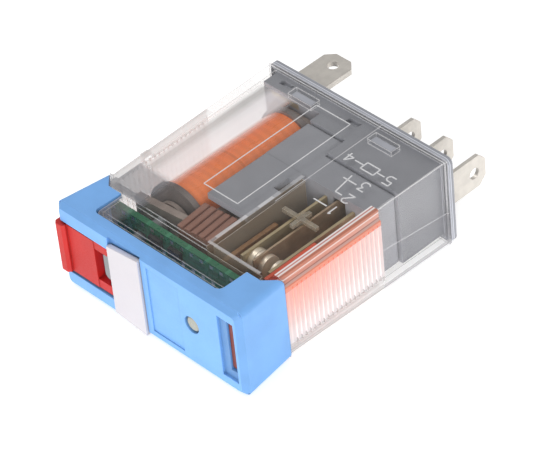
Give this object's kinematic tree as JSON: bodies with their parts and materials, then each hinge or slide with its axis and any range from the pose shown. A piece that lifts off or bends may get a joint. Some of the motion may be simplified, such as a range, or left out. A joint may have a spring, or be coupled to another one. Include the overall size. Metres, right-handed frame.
{
  "type": "plug in relay",
  "caption": "Plug-in relay in a clear case with a light blue front cap, white marking plate, red lock lever, orange flag and flat rear blades.",
  "frame": {"origin": "centre of the rear face of the base, the plane that seats on the socket, at mid width and mid thickness", "axes": "+Z through the thickness with the relay lying on its large side, +X across the width towards the contact blades, +Y the way the blades plug in"},
  "size_m": [0.0318, 0.044, 0.013],
  "materials": {
    "grey_plastic": "satin moulded, mid grey",
    "clear_plastic": "clear polycarbonate, polished",
    "blue_plastic": "satin moulded, light blue",
    "white_plastic": "fine matt, white",
    "red_plastic": "satin moulded, red",
    "button_plastic": "satin moulded, grey",
    "board_laminate": "glass-epoxy board with green solder mask",
    "lamp_plastic": "diffusing, warm grey",
    "chip_ceramic": "fired, dark",
    "bobbin_plastic": "moulded, dark grey",
    "coil_wire": "enamelled copper",
    "coil_tape": "polyester tape, orange",
    "magnet_iron": "nickel-plated soft iron",
    "copper": "bare copper",
    "brown_phenolic": "moulded phenolic, brown",
    "amber_plastic": "moulded, amber brown",
    "spring_bronze": "rolled phosphor bronze",
    "contact_silver": "silver alloy",
    "blade_tin": "tinned brass, satin",
    "card_plastic": "moulded, ivory",
    "flag_plastic": "moulded, orange"
  },
  "bodies": {
    "housing": {"base_frame": "grey_plastic", "clear_cover": "clear_plastic", "front_cap": "blue_plastic", "label_plate": "white_plastic", "lever_pin": "magnet_iron", "status_board": "board_laminate", "status_lamp": "lamp_plastic", "board_components": "chip_ceramic", "coil_bobbin": "bobbin_plastic", "coil_winding": "coil_wire", "coil_tape": "coil_tape", "core": "magnet_iron", "shading_ring": "copper", "yoke": "magnet_iron", "armature_spring": "spring_bronze", "coil_leads": "coil_wire", "nc_contact": "contact_silver", "no_contact": "contact_silver", "terminal_1": "blade_tin", "terminal_2": "blade_tin", "terminal_3": "blade_tin", "terminal_4": "blade_tin", "terminal_5": "blade_tin", "contact_carrier": "amber_plastic"},
    "armature": {"armature": "magnet_iron", "armature_actuator": "brown_phenolic"},
    "card": {"push_card": "card_plastic"},
    "contact": {"moving_spring": "spring_bronze", "moving_contact": "contact_silver"},
    "flag": {"indicator_flag": "flag_plastic"},
    "plunger": {"test_plunger": "button_plastic"},
    "lever": {"lock_lever": "red_plastic"}
  },
  "joints": [
    {"name": "armature_swing", "type": "hinge", "parent": "housing", "child": "armature", "pos_m": [-0.0018, -0.0252, 0], "axis": [0, 0, 1], "range_deg": [-5, 0]},
    {"name": "card_push", "type": "slide", "parent": "housing", "child": "card", "axis": [1, 0, 0], "range_m": [0, 0.00065]},
    {"name": "contact_swing", "type": "hinge", "parent": "housing", "child": "contact", "pos_m": [0.00805, -0.005, 0], "axis": [0, 0, 1], "range_deg": [0, 3]},
    {"name": "flag_slide", "type": "slide", "parent": "housing", "child": "flag", "axis": [0, 1, 0], "range_m": [0, 0.00121]},
    {"name": "plunger_push", "type": "slide", "parent": "housing", "child": "plunger", "axis": [0, 1, 0], "range_m": [0, 0.0006]},
    {"name": "lever_swing", "type": "hinge", "parent": "housing", "child": "lever", "pos_m": [-0.00745, -0.0356, 0], "axis": [0, 0, 1], "range_deg": [0, 90]}
  ],
  "couplings": [
    {"joint": "card_push", "follows": "armature_swing", "m_per_rad": -0.00735},
    {"joint": "contact_swing", "follows": "armature_swing", "ratio": -0.58},
    {"joint": "flag_slide", "follows": "armature_swing", "m_per_rad": -0.01375},
    {"joint": "plunger_push", "follows": "armature_swing", "m_per_rad": -0.0068}
  ]
}
